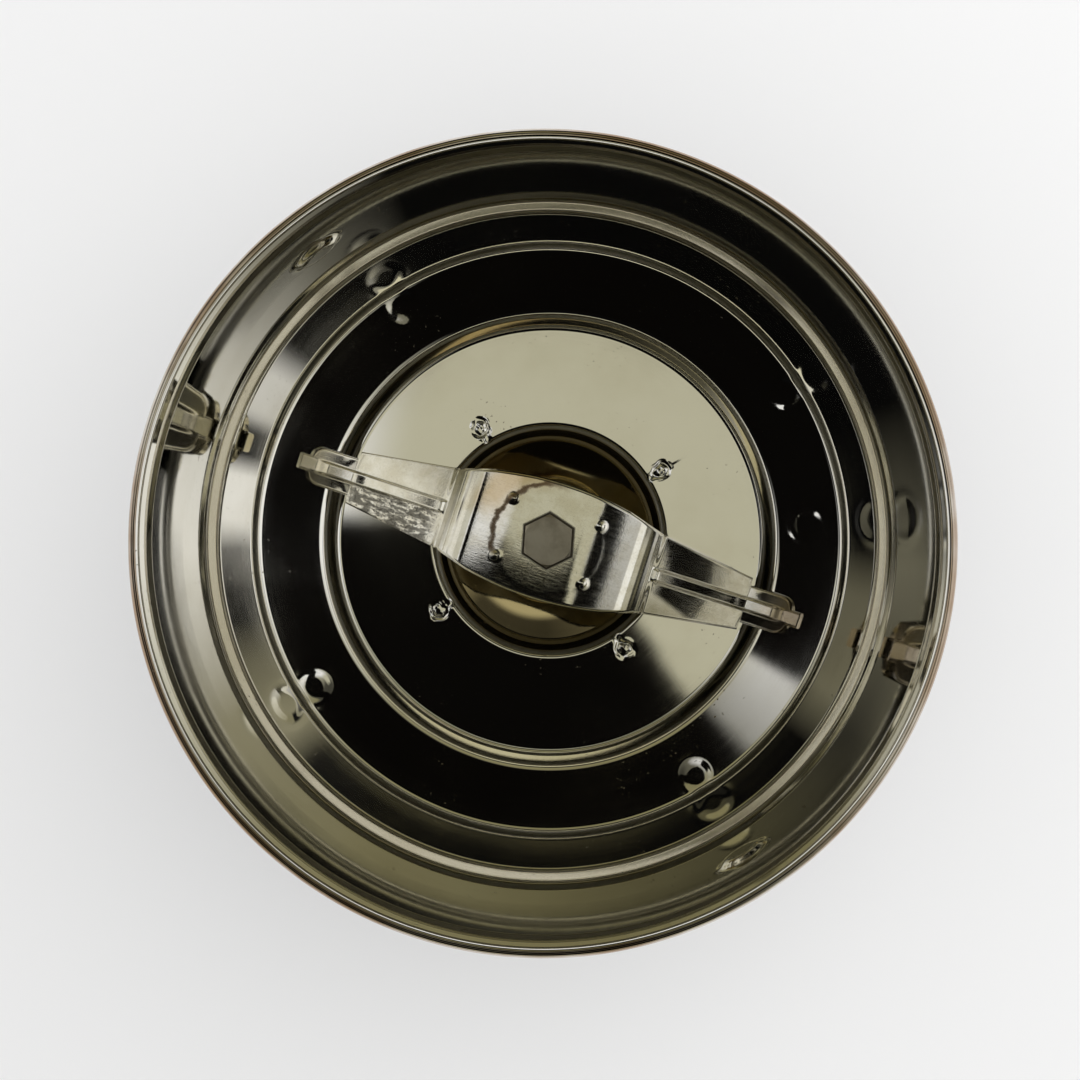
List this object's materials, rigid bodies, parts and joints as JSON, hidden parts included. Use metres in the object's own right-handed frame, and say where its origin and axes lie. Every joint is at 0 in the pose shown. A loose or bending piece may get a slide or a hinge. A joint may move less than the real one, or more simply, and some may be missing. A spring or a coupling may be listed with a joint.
{
  "type": "mixer grinder jar",
  "caption": "Round drawn-steel grinding jar with a two-armed cutter on a bushed shaft, a toothed drive coupler below and a moulded bayonet base.",
  "frame": {"origin": "on the shaft's axis, in the plane that the foot of the base rests on", "axes": "+Z up along the shaft, out of the open jar; +X to the right and +Y up in the picture, which looks straight down into the jar"},
  "size_m": [0.122, 0.122, 0.11],
  "materials": {
    "drawn_steel": "mirror-polished drawn stainless steel with fine wear",
    "blade_steel": "polished pressed steel with light brown stains",
    "spindle_steel": "turned grey steel",
    "plated_steel": "zinc-plated steel",
    "housing_alloy": "turned aluminium",
    "bush_bronze": "sintered bronze",
    "insert_brass": "machined brass",
    "black_rubber": "matte rubber",
    "white_nylon": "moulded nylon",
    "coupler_plastic": "fine-grained moulded plastic",
    "base_plastic": "fine-grained moulded plastic"
  },
  "bodies": {
    "jar": {"jar_body": "drawn_steel", "bearing_plate": "plated_steel", "nut_washer": "plated_steel", "housing_nut": "plated_steel", "bush_housing": "housing_alloy", "upper_bush": "bush_bronze", "lower_bush": "bush_bronze", "housing_gasket": "black_rubber", "oil_seal": "black_rubber", "base_gasket": "black_rubber", "base_skirt": "base_plastic", "base_boss_1": "plated_steel", "base_screw_1": "plated_steel", "base_boss_2": "plated_steel", "base_screw_2": "plated_steel", "base_boss_3": "plated_steel", "base_screw_3": "plated_steel", "base_boss_4": "plated_steel", "base_screw_4": "plated_steel"},
    "rotor": {"spindle": "spindle_steel", "blade": "blade_steel", "blade_seat": "blade_steel", "top_thrust_washer": "white_nylon", "bottom_thrust_washer": "white_nylon", "coupler_insert": "insert_brass", "coupler_body": "coupler_plastic"}
  },
  "joints": [
    {"name": "blade_spin", "type": "hinge", "parent": "jar", "child": "rotor", "pos_m": [0, 0, 0.03], "axis": [0, 0, 1], "continuous": true}
  ]
}
